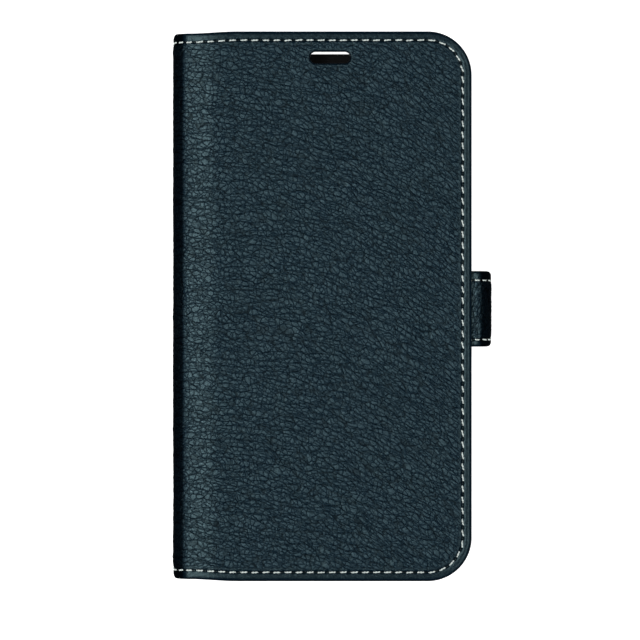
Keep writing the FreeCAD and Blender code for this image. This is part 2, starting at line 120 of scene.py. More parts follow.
# a rounded rectangle is its middle, its half sizes and its corner radius
SLOT = ((-0.45, 74.45), (6.05, 1.78), 1.7)
SLOT_HEM = ((-0.45, 74.55), (7.35, 3.1), 2.4)
WINDOW = ((24.0, 60.75), (11.5, 14.75), 6.0)
WINDOW_HEM = ((24.0, 60.75), (12.65, 15.9), 6.6)
NOTCH = ((-0.45, 86.4), (10.5, 10.0), 2.0)
NOTCH_HEM = ((-0.45, 77.6), (11.65, 2.35), 1.5)

strap_low, strap_high = box_mm("strap_side_leather")
STRAP_Y = (strap_low[1] + strap_high[1]) / 2
STRAP_HALF = (strap_high[1] - strap_low[1]) / 2
STRAP_Z = (strap_low[2] + strap_high[2]) / 2
STRAP_RUN = (strap_high[2] - strap_low[2]) / 2
STRAP_X = box_mm("strap_tip_leather")[1][0]
STRAP_TIP = STRAP_X - box_mm("strap_tip_leather")[0][0]
STRAP_R = strap_high[0] - STRAP_X
STRAP_GAUGE = strap_high[0] - strap_low[0]
STRAP_LINING = strap_low[0] - box_mm("strap_side_lining")[0][0]
STRAP_BEND_END = STRAP_RUN + STRAP_R * math.pi / 2
STRAP_ROOT = 1.2
STRAP_CORNER = 3.0
STRAP_ROWS = (STRAP_HALF - 2.8, 2.1 - STRAP_HALF)
STRAP_PITCH, STRAP_STITCH = 2.55, 1.95
STRAP_WAIST = 0.3
STRAP_BULGE = 0.35


# ---------------------------------------------------------------- small helpers


def soft_step(low, high, value):
    """0 below low, 1 above high, and a soft step between."""
    step = np.clip((value - low) / (high - low), 0, 1)
    return step * step * (3 - 2 * step)


def bell(value, width):
    """1 at zero, falling to nothing at about two widths."""
    return np.exp(-((value / width) ** 2))


def shoulder(inset, reach, drop):
    """How far an edge rolls down: drop at the edge itself, and nothing at reach from it."""
    share = np.clip(inset / reach, 0, 1)
    return drop * (1 - np.sqrt(np.clip(1 - (1 - share) ** 2, 0, 1)))


def outside(x, y, middle, half, corner):
    """How far each point is outside a rounded rectangle, less than zero inside it."""
    out_x = np.abs(x - middle[0]) - (half[0] - corner)
    out_y = np.abs(y - middle[1]) - (half[1] - corner)
    far = np.hypot(np.maximum(out_x, 0), np.maximum(out_y, 0))
    return far + np.minimum(np.maximum(out_x, out_y), 0) - corner


def waves(x, y, count, shortest, longest, seed):
    """A slow unevenness between about -1 and 1: sine waves in scattered directions."""
    draw = np.random.default_rng(seed)
    total = np.zeros_like(x)
    for _ in range(count):
        turn, phase = draw.uniform(0, math.pi), draw.uniform(0, 2 * math.pi)
        length = draw.uniform(shortest, longest)
        total += np.sin((x * math.cos(turn) + y * math.sin(turn)) * 2 * math.pi / length + phase)
    return total / math.sqrt(count)


def spaced(low, high, step, finer=()):
    """Places from low to high, closer together in the finer ranges (from, to, step)."""
    places = [low]
    while places[-1] < high - 1e-6:
        here = places[-1]
        places.append(here + min([step] + [fine for start, end, fine in finer if start <= here < end]))
    places = np.array(places)
    return low + (places - low) * (high - low) / (places[-1] - low)


# ---------------------------------------------------------------- meshes


def weld(mesh, distance=1e-4):
    """Joins points that meet, if distance isn't 0, and turns every face outwards."""
    edit = bmesh.new()
    edit.from_mesh(mesh)
    if distance:
        bmesh.ops.remove_doubles(edit, verts=edit.verts, dist=distance)
    bmesh.ops.recalc_face_normals(edit, faces=edit.faces)
    edit.to_mesh(mesh)
    edit.free()


def closed_mesh(name, grids, loops=()):
    """An object made of grids of points and of flat loops, welded where they meet, facing outwards."""
    points, faces = [], []
    for grid in grids:
        rows, columns = grid.shape[:2]
        at = len(points) + np.arange(rows * columns).reshape(rows, columns)
        points.extend(grid.reshape(-1, 3).tolist())
        corners = [at[:-1, :-1], at[:-1, 1:], at[1:, 1:], at[1:, :-1]]
        faces.extend(np.stack(corners, -1).reshape(-1, 4).tolist())
    for loop in loops:
        faces.append(list(range(len(points), len(points) + len(loop))))
        points.extend([list(point) for point in loop])
    mesh = bpy.data.meshes.new(name)
    mesh.from_pydata(points, [], faces)
    weld(mesh)
    made = bpy.data.objects.new(name, mesh)
    bpy.context.scene.collection.objects.link(made)
    return made


def points_of(piece):
    """A mesh object's points, as it stores them."""
    flat = np.zeros(len(piece.data.vertices) * 3, np.float32)
    piece.data.vertices.foreach_get("co", flat)
    return flat.reshape(-1, 3).astype(float)


def set_points(piece, points):
    piece.data.vertices.foreach_set("co", points.astype(np.float32).ravel())
    piece.data.update()


def store(piece, name, values):
    """Keeps a number or a vector at each point, for the node graphs to read."""
    vector = values.ndim == 2
    kept_values = piece.data.attributes.new(name, "FLOAT_VECTOR" if vector else "FLOAT", "POINT")
    kept_values.data.foreach_set("vector" if vector else "value", values.astype(np.float32).ravel())


def apply_modifiers(piece):
    """Makes the result of the piece's modifiers its mesh."""
    graph = bpy.context.evaluated_depsgraph_get()
    done = bpy.data.meshes.new_from_object(piece.evaluated_get(graph), depsgraph=graph)
    piece.modifiers.clear()
    piece.data = done


def carve(piece, operation, shape, top, bottom):
    """Cuts a rounded rectangle out of a flat piece, or adds one to it."""
    middle, half, corner = shape
    ring = []
    for quarter, (sign_x, sign_y) in enumerate([(1, 1), (-1, 1), (-1, -1), (1, -1)]):
        for turn in np.linspace(0, math.pi / 2, 17) + quarter * math.pi / 2:
            x = middle[0] + sign_x * (half[0] - corner) + corner * math.cos(turn)
            y = middle[1] + sign_y * (half[1] - corner) + corner * math.sin(turn)
            ring.append((x, y))
    walls = np.array([[(x, y, z) for x, y in ring + ring[:1]] for z in (top, bottom)])
    caps = [[(x, y, z) for x, y in ring] for z in (top, bottom)]
    tool = closed_mesh("tool", [walls], caps)
    change = piece.modifiers.new("carve", "BOOLEAN")
    change.operation, change.solver, change.object = operation, "MANIFOLD", tool
    apply_modifiers(piece)
    bpy.data.objects.remove(tool)


def pattern(name, near, far, half, corner, insets, wall, step, near_round=False, finer=((), ())):
    """A flat piece with round corners at its far end, and at its near end too if near_round.

    insets are where its face has rings of points, counted in from its edge, and wall is how it goes on
    from there, as (inset, depth) down the edge and in under the piece."""
    reach, far_line = half - corner, far - corner
    near_line = near + corner if near_round else near
    columns = spaced(near_line, far_line, step, finer[0])
    side = spaced(-reach, reach, step, finer[1])
    turns = np.linspace(0, math.pi / 2, max(5, int(corner * math.pi / 2 / step) + 1))
    rings = sorted({*insets, corner}, reverse=True)
    levels = [(corner - inset, 0.0) for inset in rings if inset <= corner]
    levels += [(corner - inset, depth) for inset, depth in wall]

    def row(line, sign, radius, depth):
        """One ring's points round an end, from low Y to high Y."""
        low = [(line + sign * radius * math.cos(t), -reach - radius * math.sin(t)) for t in turns[::-1]]
        straight = [(line + sign * radius, y) for y in side[1:-1]]
        high = [(line + sign * radius * math.cos(t), reach + radius * math.sin(t)) for t in turns]
        return [(x, y, -depth) for x, y in low + straight + high]

    grids = [np.array([[(x, y, 0.0) for x in columns] for y in side])]
    for sign in (-1, 1):
        grids.append(np.array([[(x, sign * (reach + r), -d) for x in columns] for r, d in levels]))
    grids.append(np.array([row(far_line, 1, r, d) for r, d in levels]))
    radius, depth = levels[-1]
    under = [[(x, sign * (reach + radius), -depth) for x in columns] for sign in (-1, 1)]
    grids.append(np.array(under))
    loops = [row(far_line, 1, radius, depth)]
    if near_round:
        grids.append(np.array([row(near_line, -1, r, d) for r, d in levels]))
        loops.append(row(near_line, -1, radius, depth))
    else:
        low = [(near, -reach - r, -d) for r, d in levels[::-1]]
        high = [(near, reach + r, -d) for r, d in levels]
        loops.append(low + [(near, y, 0.0) for y in side[1:-1]] + high)
    return closed_mesh(name, grids, loops)


# ---------------------------------------------------------------- node graphs


class Graph:
    """Short calls for a node tree. An input is a number, a tuple or another node's output."""

    def __init__(self, tree):
        self.tree = tree

    def put(self, socket, value):
        if isinstance(value, bpy.types.NodeSocket):
            self.tree.links.new(value, socket)
        else:
            socket.default_value = value

    def add(self, kind, inputs=(), **settings):
        made = self.tree.nodes.new(kind)
        for key, value in settings.items():
            setattr(made, key, value)
        for key, value in dict(inputs).items():
            self.put(made.inputs[key], value)
        return made

    def math(self, operation, *values):
        return self.add("ShaderNodeMath", enumerate(values), operation=operation).outputs[0]

    def vector(self, operation, *values):
        return self.add("ShaderNodeVectorMath", enumerate(values), operation=operation).outputs[0]

    def line(self, value, gain, offset):
        """value * gain + offset"""
        return self.math("MULTIPLY_ADD", value, gain, offset)

    def step(self, value, low, high):
        """A soft step from 0 at low to 1 at high."""
        inputs = {"Value": value, 1: low, 2: high}
        made = self.add("ShaderNodeMapRange", inputs, interpolation_type="SMOOTHSTEP")
        return made.outputs["Result"]

    def noise(self, place, scale, detail=2.0, roughness=0.5, output="Fac"):
        inputs = {"Vector": place, "Scale": scale, "Detail": detail, "Roughness": roughness}
        return self.add("ShaderNodeTexNoise", inputs).outputs[output]

    def drift(self, place, scale, reach, detail=1.0):
        """The place, shifted unevenly by up to half of reach."""
        shift = self.vector("SUBTRACT", self.noise(place, scale, detail, output="Color"), (0.5, 0.5, 0.5))
        return self.vector("ADD", place, self.vector("MULTIPLY", shift, reach))

    def cracks(self, place, scale):
        """How far each place is from the nearest edge between cells."""
        inputs = {"Vector": place, "Scale": scale}
        return self.add("ShaderNodeTexVoronoi", inputs, feature="DISTANCE_TO_EDGE").outputs["Distance"]

    def mix(self, share, first, second):
        """One colour or the other, by share."""
        inputs = {0: share, 6: first, 7: second}
        return self.add("ShaderNodeMix", inputs, data_type="RGBA").outputs[2]


SMOOTH_LEVEL = 0.72


def grain_height(graph, place, relief, crease):
    """How high pebbled leather stands: 0 in its creases, 1 on its pebbles, one level where it is smooth."""
    bent = graph.drift(place, 0.16, (2.4, 2.4, 0.0))
    bent = graph.drift(bent, 0.8, (0.5, 0.4, 0.0))
    pebbles = graph.cracks(graph.vector("MULTIPLY", bent, (0.86, 1.0, 1.0)), 0.76)
    wrinkles = graph.cracks(graph.vector("MULTIPLY", bent, (0.36, 1.0, 1.0)), 0.50)
    grit = graph.noise(bent, 2.6)
    tops = graph.line(graph.step(pebbles, 0.0, crease), 0.55, 0.45)
    valleys = graph.line(graph.step(wrinkles, 0.0, crease * 0.9), 0.55, 0.45)
    height = graph.math("MULTIPLY", graph.math("MULTIPLY", tops, valleys), graph.line(grit, 0.5, 0.75))
    return graph.line(graph.math("SUBTRACT", height, SMOOTH_LEVEL), relief, SMOOTH_LEVEL)


def emboss(piece, amount):
    """Raises the pebbles and sinks the creases of a flat piece's face, by amount between the two."""
    tree = bpy.data.node_groups.new("emboss", "GeometryNodeTree")
    tree.interface.new_socket("Geometry", in_out="INPUT", socket_type="NodeSocketGeometry")
    tree.interface.new_socket("Geometry", in_out="OUTPUT", socket_type="NodeSocketGeometry")
    graph = Graph(tree)
    start, end = graph.add("NodeGroupInput"), graph.add("NodeGroupOutput")
    place = graph.add("GeometryNodeInputNamedAttribute", {"Name": "place"}, data_type="FLOAT_VECTOR")
    relief = graph.add("GeometryNodeInputNamedAttribute", {"Name": "relief"}, data_type="FLOAT")
    height = grain_height(graph, place.outputs["Attribute"], relief.outputs["Attribute"], EMBOSS_CREASE)
    rise = graph.math("MULTIPLY", graph.math("SUBTRACT", height, SMOOTH_LEVEL), amount)
    offset = graph.add("ShaderNodeCombineXYZ", {"Z": rise}).outputs[0]
    inputs = {"Geometry": start.outputs[0], "Offset": offset}
    moved = graph.add("GeometryNodeSetPosition", inputs)
    graph.put(end.inputs[0], moved.outputs[0])
    piece.modifiers.new("emboss", "NODES").node_group = tree
    apply_modifiers(piece)


# ---------------------------------------------------------------- materials


def tint(red, green, blue):
    """A display colour, 0 to 255, as the linear colour that a shader takes."""
    shares = [value / 255 for value in (red, green, blue)]
    linear = [s / 12.92 if s <= 0.04045 else ((s + 0.055) / 1.055) ** 2.4 for s in shares]
    return (*linear, 1.0)


def times(colour, gain):
    """A linear colour, brighter or darker."""
    return (*[min(1.0, value * gain) for value in colour[:3]], 1.0)


def new_material(name, roughness, specular):
    made = bpy.data.materials.new(name)
    made.use_nodes = True
    made.node_tree.nodes.clear()
    graph = Graph(made.node_tree)
    shader = graph.add("ShaderNodeBsdfPrincipled")
    graph.put(graph.add("ShaderNodeOutputMaterial").inputs["Surface"], shader.outputs[0])
    shader.inputs["Roughness"].default_value = roughness
    shader.inputs["Specular IOR Level"].default_value = specular
    return made, graph, shader


def bump(graph, shader, height, distance):
    made = graph.add("ShaderNodeBump", {"Height": height, "Distance": distance * MM})
    graph.put(shader.inputs["Normal"], made.outputs["Normal"])


def kept(graph, name, output="Vector"):
    """What store() kept at each point."""
    made = graph.add("ShaderNodeAttribute", attribute_name=name, attribute_type="GEOMETRY")
    return made.outputs[output]


def leather(name, top, crease, relief_mm, roughness):
    """Pebbled leather, uneven in colour and shine, with painted shade in its creases, in its stitch holes and
    where it bends, and darker where it is smooth.
    """
    made, graph, shader = new_material(name, roughness, 0.5)
    place, relief = kept(graph, "place"), kept(graph, "relief", "Fac")
    height = grain_height(graph, place, relief, SHADER_CREASE)
    pores = graph.noise(place, 6.0, 3.0, 0.6)
    blotch = graph.noise(place, 0.08, 3.0, 0.6)
    speckle = graph.noise(place, 2.6, 2.0, 0.7)

    seam = graph.add("ShaderNodeSeparateXYZ", {"Vector": kept(graph, "seam")})
    phase = graph.math("SUBTRACT", graph.math("FRACT", graph.math("ADD", seam.outputs[0], 0.5)), 0.5)
    along = graph.math("MULTIPLY", graph.math("MULTIPLY", phase, seam.outputs[2]), 0.62)
    squares = graph.math("MULTIPLY", along, along)
    squares = graph.math("MULTIPLY_ADD", seam.outputs[1], seam.outputs[1], squares)
    sound = graph.step(graph.math("SQRT", squares), 0.16, 0.40)

    # painted shade: the colour goes from the top colour on the pebbles to the much darker crease colour in
    # the creases
    shade = graph.mix(graph.step(height, 0.0, 0.9), crease, top)
    cast = graph.mix(graph.step(blotch, 0.35, 0.68), (0.88, 0.98, 1.02, 1.0), (1.12, 1.02, 0.98, 1.0))
    uneven = graph.mix(graph.step(speckle, 0.3, 0.72), (0.66, 0.66, 0.66, 1.0), (1.36, 1.36, 1.36, 1.0))
    shade = graph.vector("MULTIPLY", graph.vector("MULTIPLY", shade, cast), uneven)
    # painted shade: the colour falls almost to black in the stitch holes
    hole_shade = graph.mix(sound, (0.05, 0.05, 0.05, 1.0), (1.0, 1.0, 1.0, 1.0))
    # the kept vector holds the painted shade over bends (x) and the painted sheen on ridges (y)
    shade_and_wear = graph.add("ShaderNodeSeparateXYZ", {"Vector": kept(graph, "shade_and_wear")})
    bend, ridge = shade_and_wear.outputs[0], shade_and_wear.outputs[1]
    # painted shade over the bends; the colour is also darker where the leather is smooth, on the rim and
    # round the openings
    fold_shade_and_dark_rim = graph.math("MULTIPLY", graph.line(bend, -0.8, 1.0), graph.line(relief, 0.5, 0.5))
    shade = graph.vector("MULTIPLY", graph.vector("MULTIPLY", shade, hole_shade), fold_shade_and_dark_rim)
    graph.put(shader.inputs["Base Color"], shade)

    shine = graph.line(pores, 0.16, roughness - 0.23)
    graph.put(shader.inputs["Roughness"], graph.line(relief, 0.15, shine))
    gloss = graph.line(graph.step(height, 0.1, 0.85), 0.36, 0.05)
    gloss = graph.math("MULTIPLY", gloss, graph.line(relief, 0.3, 0.7))
    # painted shade and sheen: less shine over the bends, more along the ridges
    fold_shade_and_ridge_sheen = graph.math("ADD", graph.line(bend, -0.8, 1.0), graph.math("MULTIPLY", ridge, 0.62))
    gloss = graph.math("MULTIPLY", graph.math("MULTIPLY", gloss, fold_shade_and_ridge_sheen), graph.line(speckle, 2.6, -0.3))
    graph.put(shader.inputs["Specular IOR Level"], gloss)
    shader.inputs["Specular Tint"].default_value = tint(202, 243, 248)
    pits = graph.math("MULTIPLY", pores, graph.line(relief, 0.10, 0.01))
    detail = graph.math("ADD", pits, graph.math("MULTIPLY_ADD", sound, 0.9, height))
    bump(graph, shader, detail, relief_mm)
    return made


def cloth(name, colour):
    """Brushed microfibre: a short uneven nap, clouded where it has been stroked."""
    made, graph, shader = new_material(name, 0.9, 0.2)
    place = kept(graph, "place")
    nap = graph.noise(graph.vector("MULTIPLY", place, (1.0, 0.4, 1.0)), 3.2, 4.0, 0.7)
    clouds = graph.noise(place, 0.12, 3.0, 0.6)
    both = graph.math("ADD", graph.math("MULTIPLY", nap, 0.65), graph.math("MULTIPLY", clouds, 0.35))
    shade = graph.mix(graph.step(both, 0.35, 0.65), times(colour, 0.6), times(colour, 1.6))
    graph.put(shader.inputs["Base Color"], shade)
    shader.inputs["Sheen Weight"].default_value = 0.3
    shader.inputs["Sheen Roughness"].default_value = 0.6
    bump(graph, shader, nap, 0.06)
    return made


def yarn(name, colour):
    """Twisted polyester thread: fine fibres, and a little dust between them."""
    made, graph, shader = new_material(name, 0.55, 0.4)
    fibres = graph.noise(kept(graph, "place"), 6.0, 3.0, 0.6)
    shade = graph.mix(graph.step(fibres, 0.3, 0.62), times(colour, 0.68), colour)
    graph.put(shader.inputs["Base Color"], shade)
    bump(graph, shader, fibres, 0.03)
    return made


def in_mm(graph, stretch=(1.0, 1.0, 1.0)):
    """A rigid piece's own coordinates in millimetres, stretched as a grain runs."""
    place = graph.add("ShaderNodeTexCoord").outputs["Object"]
    return graph.vector("MULTIPLY", place, tuple(value / MM for value in stretch))


def moulded(name, colour):
    """Moulded plastic with a fine spark-eroded face, slightly polished where it is handled."""
    made, graph, shader = new_material(name, 0.5, 0.14)
    place = in_mm(graph)
    grit = graph.noise(place, 4.0, 3.0, 0.7)
    shade_and_wear = graph.noise(place, 0.1, 4.0, 0.65)
    worn = graph.mix(graph.step(shade_and_wear, 0.4, 0.75), colour, times(colour, 1.7))
    graph.put(shader.inputs["Base Color"], worn)
    graph.put(shader.inputs["Roughness"], graph.line(shade_and_wear, -0.25, 0.62))
    bump(graph, shader, grit, 0.05)
    return made


def brushed(name, colour):
    """Plated sheet with short scratches that all run one way."""
    made, graph, shader = new_material(name, 0.35, 0.5)
    lines = graph.noise(in_mm(graph, (0.4, 9.0, 1.0)), 3.0, 4.0, 0.7)
    graph.put(shader.inputs["Base Color"], graph.mix(lines, times(colour, 0.7), colour))
    graph.put(shader.inputs["Roughness"], graph.line(lines, 0.25, 0.22))
    shader.inputs["Metallic"].default_value = 1.0
    bump(graph, shader, lines, 0.01)
    return made


def flecked(name, colour, scale):
    """Pressed board or paper tape: dull, with flecks of fibre."""
    made, graph, shader = new_material(name, 0.9, 0.2)
    flecks = graph.noise(in_mm(graph), scale, 5.0, 0.75)
    shade = graph.mix(graph.step(flecks, 0.35, 0.65), times(colour, 0.6), colour)
    graph.put(shader.inputs["Base Color"], shade)
    bump(graph, shader, flecks, 0.04)
    return made


materials = {
    # for each leather, the second colour is the painted shade of its creases
    "cover_leather": leather("cover_leather", tint(4, 24, 38), tint(2, 6, 12), 0.22, 0.42),
    "pocket_leather": leather("pocket_leather", tint(6, 25, 38), tint(4, 14, 22), 0.12, 0.42),
    "lining": cloth("lining", tint(27, 30, 33)),
    "thread": yarn("thread", tint(218, 228, 224)),
    "holder": moulded("holder", tint(8, 8, 9)),
    "board": flecked("board", tint(150, 145, 135), 1.2),
    "adhesive": flecked("adhesive", tint(225, 222, 210), 0.6),
    "steel": brushed("steel", tint(190, 190, 188)),
    "magnet": brushed("magnet", tint(176, 174, 170)),
}
for part in frame["record"]["subparts"]:
    for material_slot in frame["nodes"][part["node"]].material_slots:
        material_slot.material = materials[part["material_slot"]]


def finish_piece(piece, slot_name, points, sharp_deg=50):
    """Puts a piece at its place in the frame and gives it its finish."""
    set_points(piece, points * MM)
    weld(piece.data, distance=0)
    piece.data.materials.clear()
    piece.data.materials.append(materials[slot_name])
    piece.data.shade_smooth()
    piece.data.set_sharp_from_angle(angle=math.radians(sharp_deg))


# ---------------------------------------------------------------- how the covers wrap


def wrap_cover(flat, front, thick=True):
    """Flat points of a cover at their places: over the cover, round the fold, down to mid-spine."""
    across, along, depth = flat[:, 0], flat[:, 1], -flat[:, 2]
    past = across - CREST
    sink = CREST_DROP * np.where(past > 0, bell(past, CREST_WIDTH), bell(past, CREST_WIDTH_SPINE))
    if thick:
        depth = depth + sink * np.clip(1 - depth / RIM_DEPTH, 0, 1)
    turn = np.clip((FOLD_X - across) / FOLD_R, 0, math.pi / 2)
    down = np.maximum(FOLD_X - FOLD_ARC - across, 0)
    radius = FOLD_R - depth
    x = np.maximum(across, FOLD_X) - radius * np.sin(turn)
    z = TOP - FOLD_R + radius * np.cos(turn) - down
    from_spine = np.maximum(across, FOLD_X) - FOLD_R * np.sin(turn) - SPINE_X
    retreat = TAPER * soft_step(-TAPER_START, -FOLD_X, -across)
    retreat = retreat + shoulder(from_spine, END_ROUND, END_ROUND)
    y = along * (1 - retreat / HALF_Y)
    return np.stack([x, y, z if front else TOP - z], -1)


def cover_inset(across, along, inset=0.0):
    """How far inside the cover's edge each place is. The cover has no edge at the fold."""
    far, half = EDGE_X - inset, HALF_Y - inset
    return -outside(across, along, (far - 500, 0), (500, half), CORNER - inset)


def seam_run(across, along):
    """How far along the seam each place is, from the middle of the cover's far edge."""
    over = np.maximum(np.abs(along) - SEAM_REACH, 0)
    turn = np.arctan2(over, np.maximum(across - SEAM_LINE, 0))
    run = np.minimum(np.abs(along), SEAM_REACH) + SEAM_RADIUS * turn + np.maximum(SEAM_LINE - across, 0)
    return np.sign(along) * run


def seam_place(run):
    """The seam's place and heading at that distance along it."""
    arc = SEAM_RADIUS * math.pi / 2
    sign, far = (1 if run >= 0 else -1), abs(run)
    turn = min(max(far - SEAM_REACH, 0), arc) / SEAM_RADIUS
    x = SEAM_LINE + SEAM_RADIUS * math.cos(turn) - max(far - SEAM_REACH - arc, 0)
    y = sign * (min(far, SEAM_REACH) + SEAM_RADIUS * math.sin(turn))
    return x, y, math.pi / 2 + sign * turn


def skin_face(across, along, seed):
    """How far the leather's face lies below its highest level: rolled rim, stitched groove, unevenness."""
    inset = cover_inset(across, along)
    seam = inset - SEAM_INSET
    to_hole = (seam_run(across, along) / SEAM_PITCH + 0.5) % 1 - 0.5
    drop = shoulder(inset, SHOULDER, SHOULDER_DROP)
    drop += RIM_DROP * (1 - soft_step(3.0, 5.2, inset))
    drop += 0.20 * bell(seam, 0.42)
    drop += 0.22 * bell(np.hypot(seam, to_hole * SEAM_PITCH), 0.45)
    drop -= 0.07 * bell(seam - 1.3, 0.9) * np.cos(to_hole * 2 * math.pi) ** 2
    drop += (0.05 * waves(across, along, 7, 14, 42, seed) + 0.05) * soft_step(3.0, 9.0, inset)
    return drop


def make_skin(name, front):
    """A cover's leather with its half of the spine, turned in at the edge, and hemmed round its openings."""
    insets = [0.0, 0.04, 0.12, 0.25, 0.42, 0.65, 0.9, 1.2, 1.55, 1.9, 2.15]
    insets += [2.3, 2.42, 2.54, 2.66, 2.78, 2.9, 3.02, 3.2, 3.5, 3.85]
    insets += list(np.arange(4.25, CORNER - 0.2, SKIN_STEP))
    rim = RIM_DEPTH - 0.02
    wall = [(0, 1.2), (0.06, 1.5), (0.22, 1.74), (0.5, rim)]
    wall += [(BOARD_INSET - 0.1, rim), (BOARD_INSET - 0.05, LEATHER_GAUGE - 0.02)]
    finer = ([(-8.2, 7.3, 0.25)], [(68.0, 69.2, 0.3)]) if front else ((), ())
    skin = pattern(name, MID_SPINE, EDGE_X, HALF_Y, CORNER, insets, wall, SKIN_STEP, finer=finer)
    openings = [(SLOT, SLOT_HEM)] if front else [(WINDOW, WINDOW_HEM), (NOTCH, NOTCH_HEM)]
    for opening, hem in openings:
        carve(skin, "UNION", hem, -0.5, -rim)
        carve(skin, "DIFFERENCE", opening, 3.0, -5.0)

    flat = points_of(skin)
    across, along = flat[:, 0], flat[:, 1]
    on_face = flat[:, 2] > -1e-3
    inset = cover_inset(across, along)
    relief = 0.12 + 0.88 * soft_step(2.9, 4.4, inset)
    drop = skin_face(across, along, 5 if front else 6)
    for opening, _ in openings:
        near = outside(across, along, *opening)
        relief *= soft_step(0.1, 1.2, near)
        drop += shoulder(np.abs(near), 0.75, 0.5) * np.clip(1 - drop / 1.15, 0, 1)
    flat[:, 2] -= np.where(on_face, drop, 0)
    going_on = across if front else 2 * MID_SPINE - across
    slant = GRAIN_SLANT * np.maximum(across - GRAIN_SLANT_START, 0) ** 2 * (1 if front else -1)
    store(skin, "place", np.stack([going_on, along + slant, -flat[:, 2]], -1))
    store(skin, "relief", np.where(on_face, relief, 0.1))
    # painted shade over the fold and down the spine, and a painted sheen along the ridge beside it
    ridge = soft_step(*RIDGE_START, across) * (1 - soft_step(*RIDGE_END, across))
    ridge *= soft_step(SEAM_INSET, 4.4, inset)
    store(skin, "shade_and_wear", np.stack([soft_step(*DARK_FOLD, -across), ridge, 0 * ridge], -1))
    phase = seam_run(across, along) / SEAM_PITCH
    to_seam = np.where(on_face, inset - SEAM_INSET, 9.0)
    store(skin, "seam", np.stack([phase, to_seam, np.full_like(phase, SEAM_PITCH)], -1))
    set_points(skin, flat)
    emboss(skin, SKIN_EMBOSS)
    finish_piece(skin, "cover_leather", wrap_cover(points_of(skin), front))
    return skin


def make_lining(name, front):
    """A cover's lining with its half of the spine: thin cloth glued inside the leather and board."""
    corner = CORNER - LINING_INSET
    far, half = EDGE_X - LINING_INSET, HALF_Y - LINING_INSET
    insets = [0.0, 0.1, 0.3, 0.7, 1.4] + list(np.arange(2.4, corner - 0.6, LINING_STEP))
    lining = pattern(name, MID_SPINE, far, half, corner, insets, [(0, LINING_GAUGE - 0.02)], LINING_STEP)
    for opening in [SLOT] if front else [WINDOW, NOTCH]:
        carve(lining, "DIFFERENCE", opening, 3.0, -5.0)
    flat = points_of(lining)
    across, along = flat[:, 0], flat[:, 1]
    on_face = flat[:, 2] > -1e-3
    edge = cover_inset(across, along, LINING_INSET)
    drop = shoulder(edge, 0.3, 0.2) + 0.04 + 0.04 * waves(across, along, 6, 10, 30, 8 if front else 9)
    flat[:, 2] -= np.where(on_face, drop, 0)
    store(lining, "place", flat)
    flat[:, 2] = -LINING_DEPTH - flat[:, 2]
    finish_piece(lining, "lining", wrap_cover(flat, front, thick=False))
    return lining


# ---------------------------------------------------------------- stitches

PLY_R, PLY_OFFSET = 0.145, 0.115
PLY_TWIST = 4.2
STITCH_DIP = 0.62
STITCH_LEAN_DEG = 3.0


def stitch_points(places, length, depth, lean_deg, sides=7, rings=13):
    """Short lengths of two-ply thread in pattern space, each dipping into the leather at both ends."""
    grids, loops = [], []
    run = np.linspace(-1, 1, rings)
    slim = PLY_R * (1 - 0.25 * np.abs(run) ** 8)
    round_turns = np.linspace(0, 2 * math.pi, sides + 1)
    for x, y, heading in places:
        half = length / 2 * rng.uniform(0.95, 1.04)
        lean = math.radians(lean_deg(heading) + rng.uniform(-2.5, 2.5))
        shift, start = rng.uniform(-0.04, 0.04), rng.uniform(0, 2 * math.pi)
        ahead = np.array([math.cos(heading + lean), math.sin(heading + lean)])
        aside = np.array([-math.sin(heading), math.cos(heading)])
        for ply in (0, math.pi):
            twist = start + ply + run * PLY_TWIST
            side = shift + PLY_OFFSET * np.cos(twist)[:, None] + slim[:, None] * np.cos(round_turns)
            down = depth + STITCH_DIP * np.abs(run) ** 6 - PLY_OFFSET * np.sin(twist)
            down = down[:, None] - slim[:, None] * np.sin(round_turns)
            flat_x = x + ahead[0] * run[:, None] * half + aside[0] * side
            flat_y = y + ahead[1] * run[:, None] * half + aside[1] * side
            grid = np.stack([flat_x, flat_y, -down], -1)
            grids.append(grid)
            loops += [grid[0][:-1], grid[-1][:-1]]
    return grids, loops


def make_thread(name, places, length, depth, wrap, lean_deg=lambda heading: STITCH_LEAN_DEG):
    """A row of stitches, wrapped with the piece that they are sewn through."""
    row = closed_mesh(name, *stitch_points(places, length, depth, lean_deg))
    flat = points_of(row)
    store(row, "place", flat)
    finish_piece(row, "thread", wrap(flat), 80)
    return row


def cover_lean(heading):
    """The stitches lean more on the far side than along the top and bottom."""
    return STITCH_LEAN_DEG + 9.0 * math.sin(heading) ** 4


def make_cover_seam(name, front):
    places = []
    for count in range(-SEAM_COUNT // 2, SEAM_COUNT // 2):
        x, y, heading = seam_place((count + 0.5) * SEAM_PITCH)
        in_notch = abs(x - NOTCH[0][0]) < NOTCH[1][0] + SEAM_INSET and y > 0
        if front or not in_notch:
            places.append((x, y, heading))

    def wrap(flat):
        return wrap_cover(flat, front)

    return make_thread(name, places, SEAM_STITCH, THREAD_DEPTH, wrap, cover_lean)


# ---------------------------------------------------------------- the strap


def wrap_strap(flat, upper):
    """Flat points of half the strap at their places: up from mid-strap, round the bend, and along."""
    across, along, depth = flat[:, 0], flat[:, 1], -flat[:, 2]
    turn = np.clip((across - STRAP_RUN) / STRAP_R, 0, math.pi / 2)
    on = np.maximum(across - STRAP_BEND_END, 0)
    radius = STRAP_R - depth
    x = STRAP_X + radius * np.cos(turn) - on + STRAP_BULGE * np.cos(turn) ** 2
    rise = np.minimum(across, STRAP_RUN) + radius * np.sin(turn)
    z = STRAP_Z + rise if upper else STRAP_Z - rise
    from_face = STRAP_R * (1 - np.cos(turn)) + on
    waist = shoulder(from_face, 0.8, STRAP_WAIST)
    return np.stack([x, along * (1 - waist / STRAP_HALF) + STRAP_Y, z], -1)


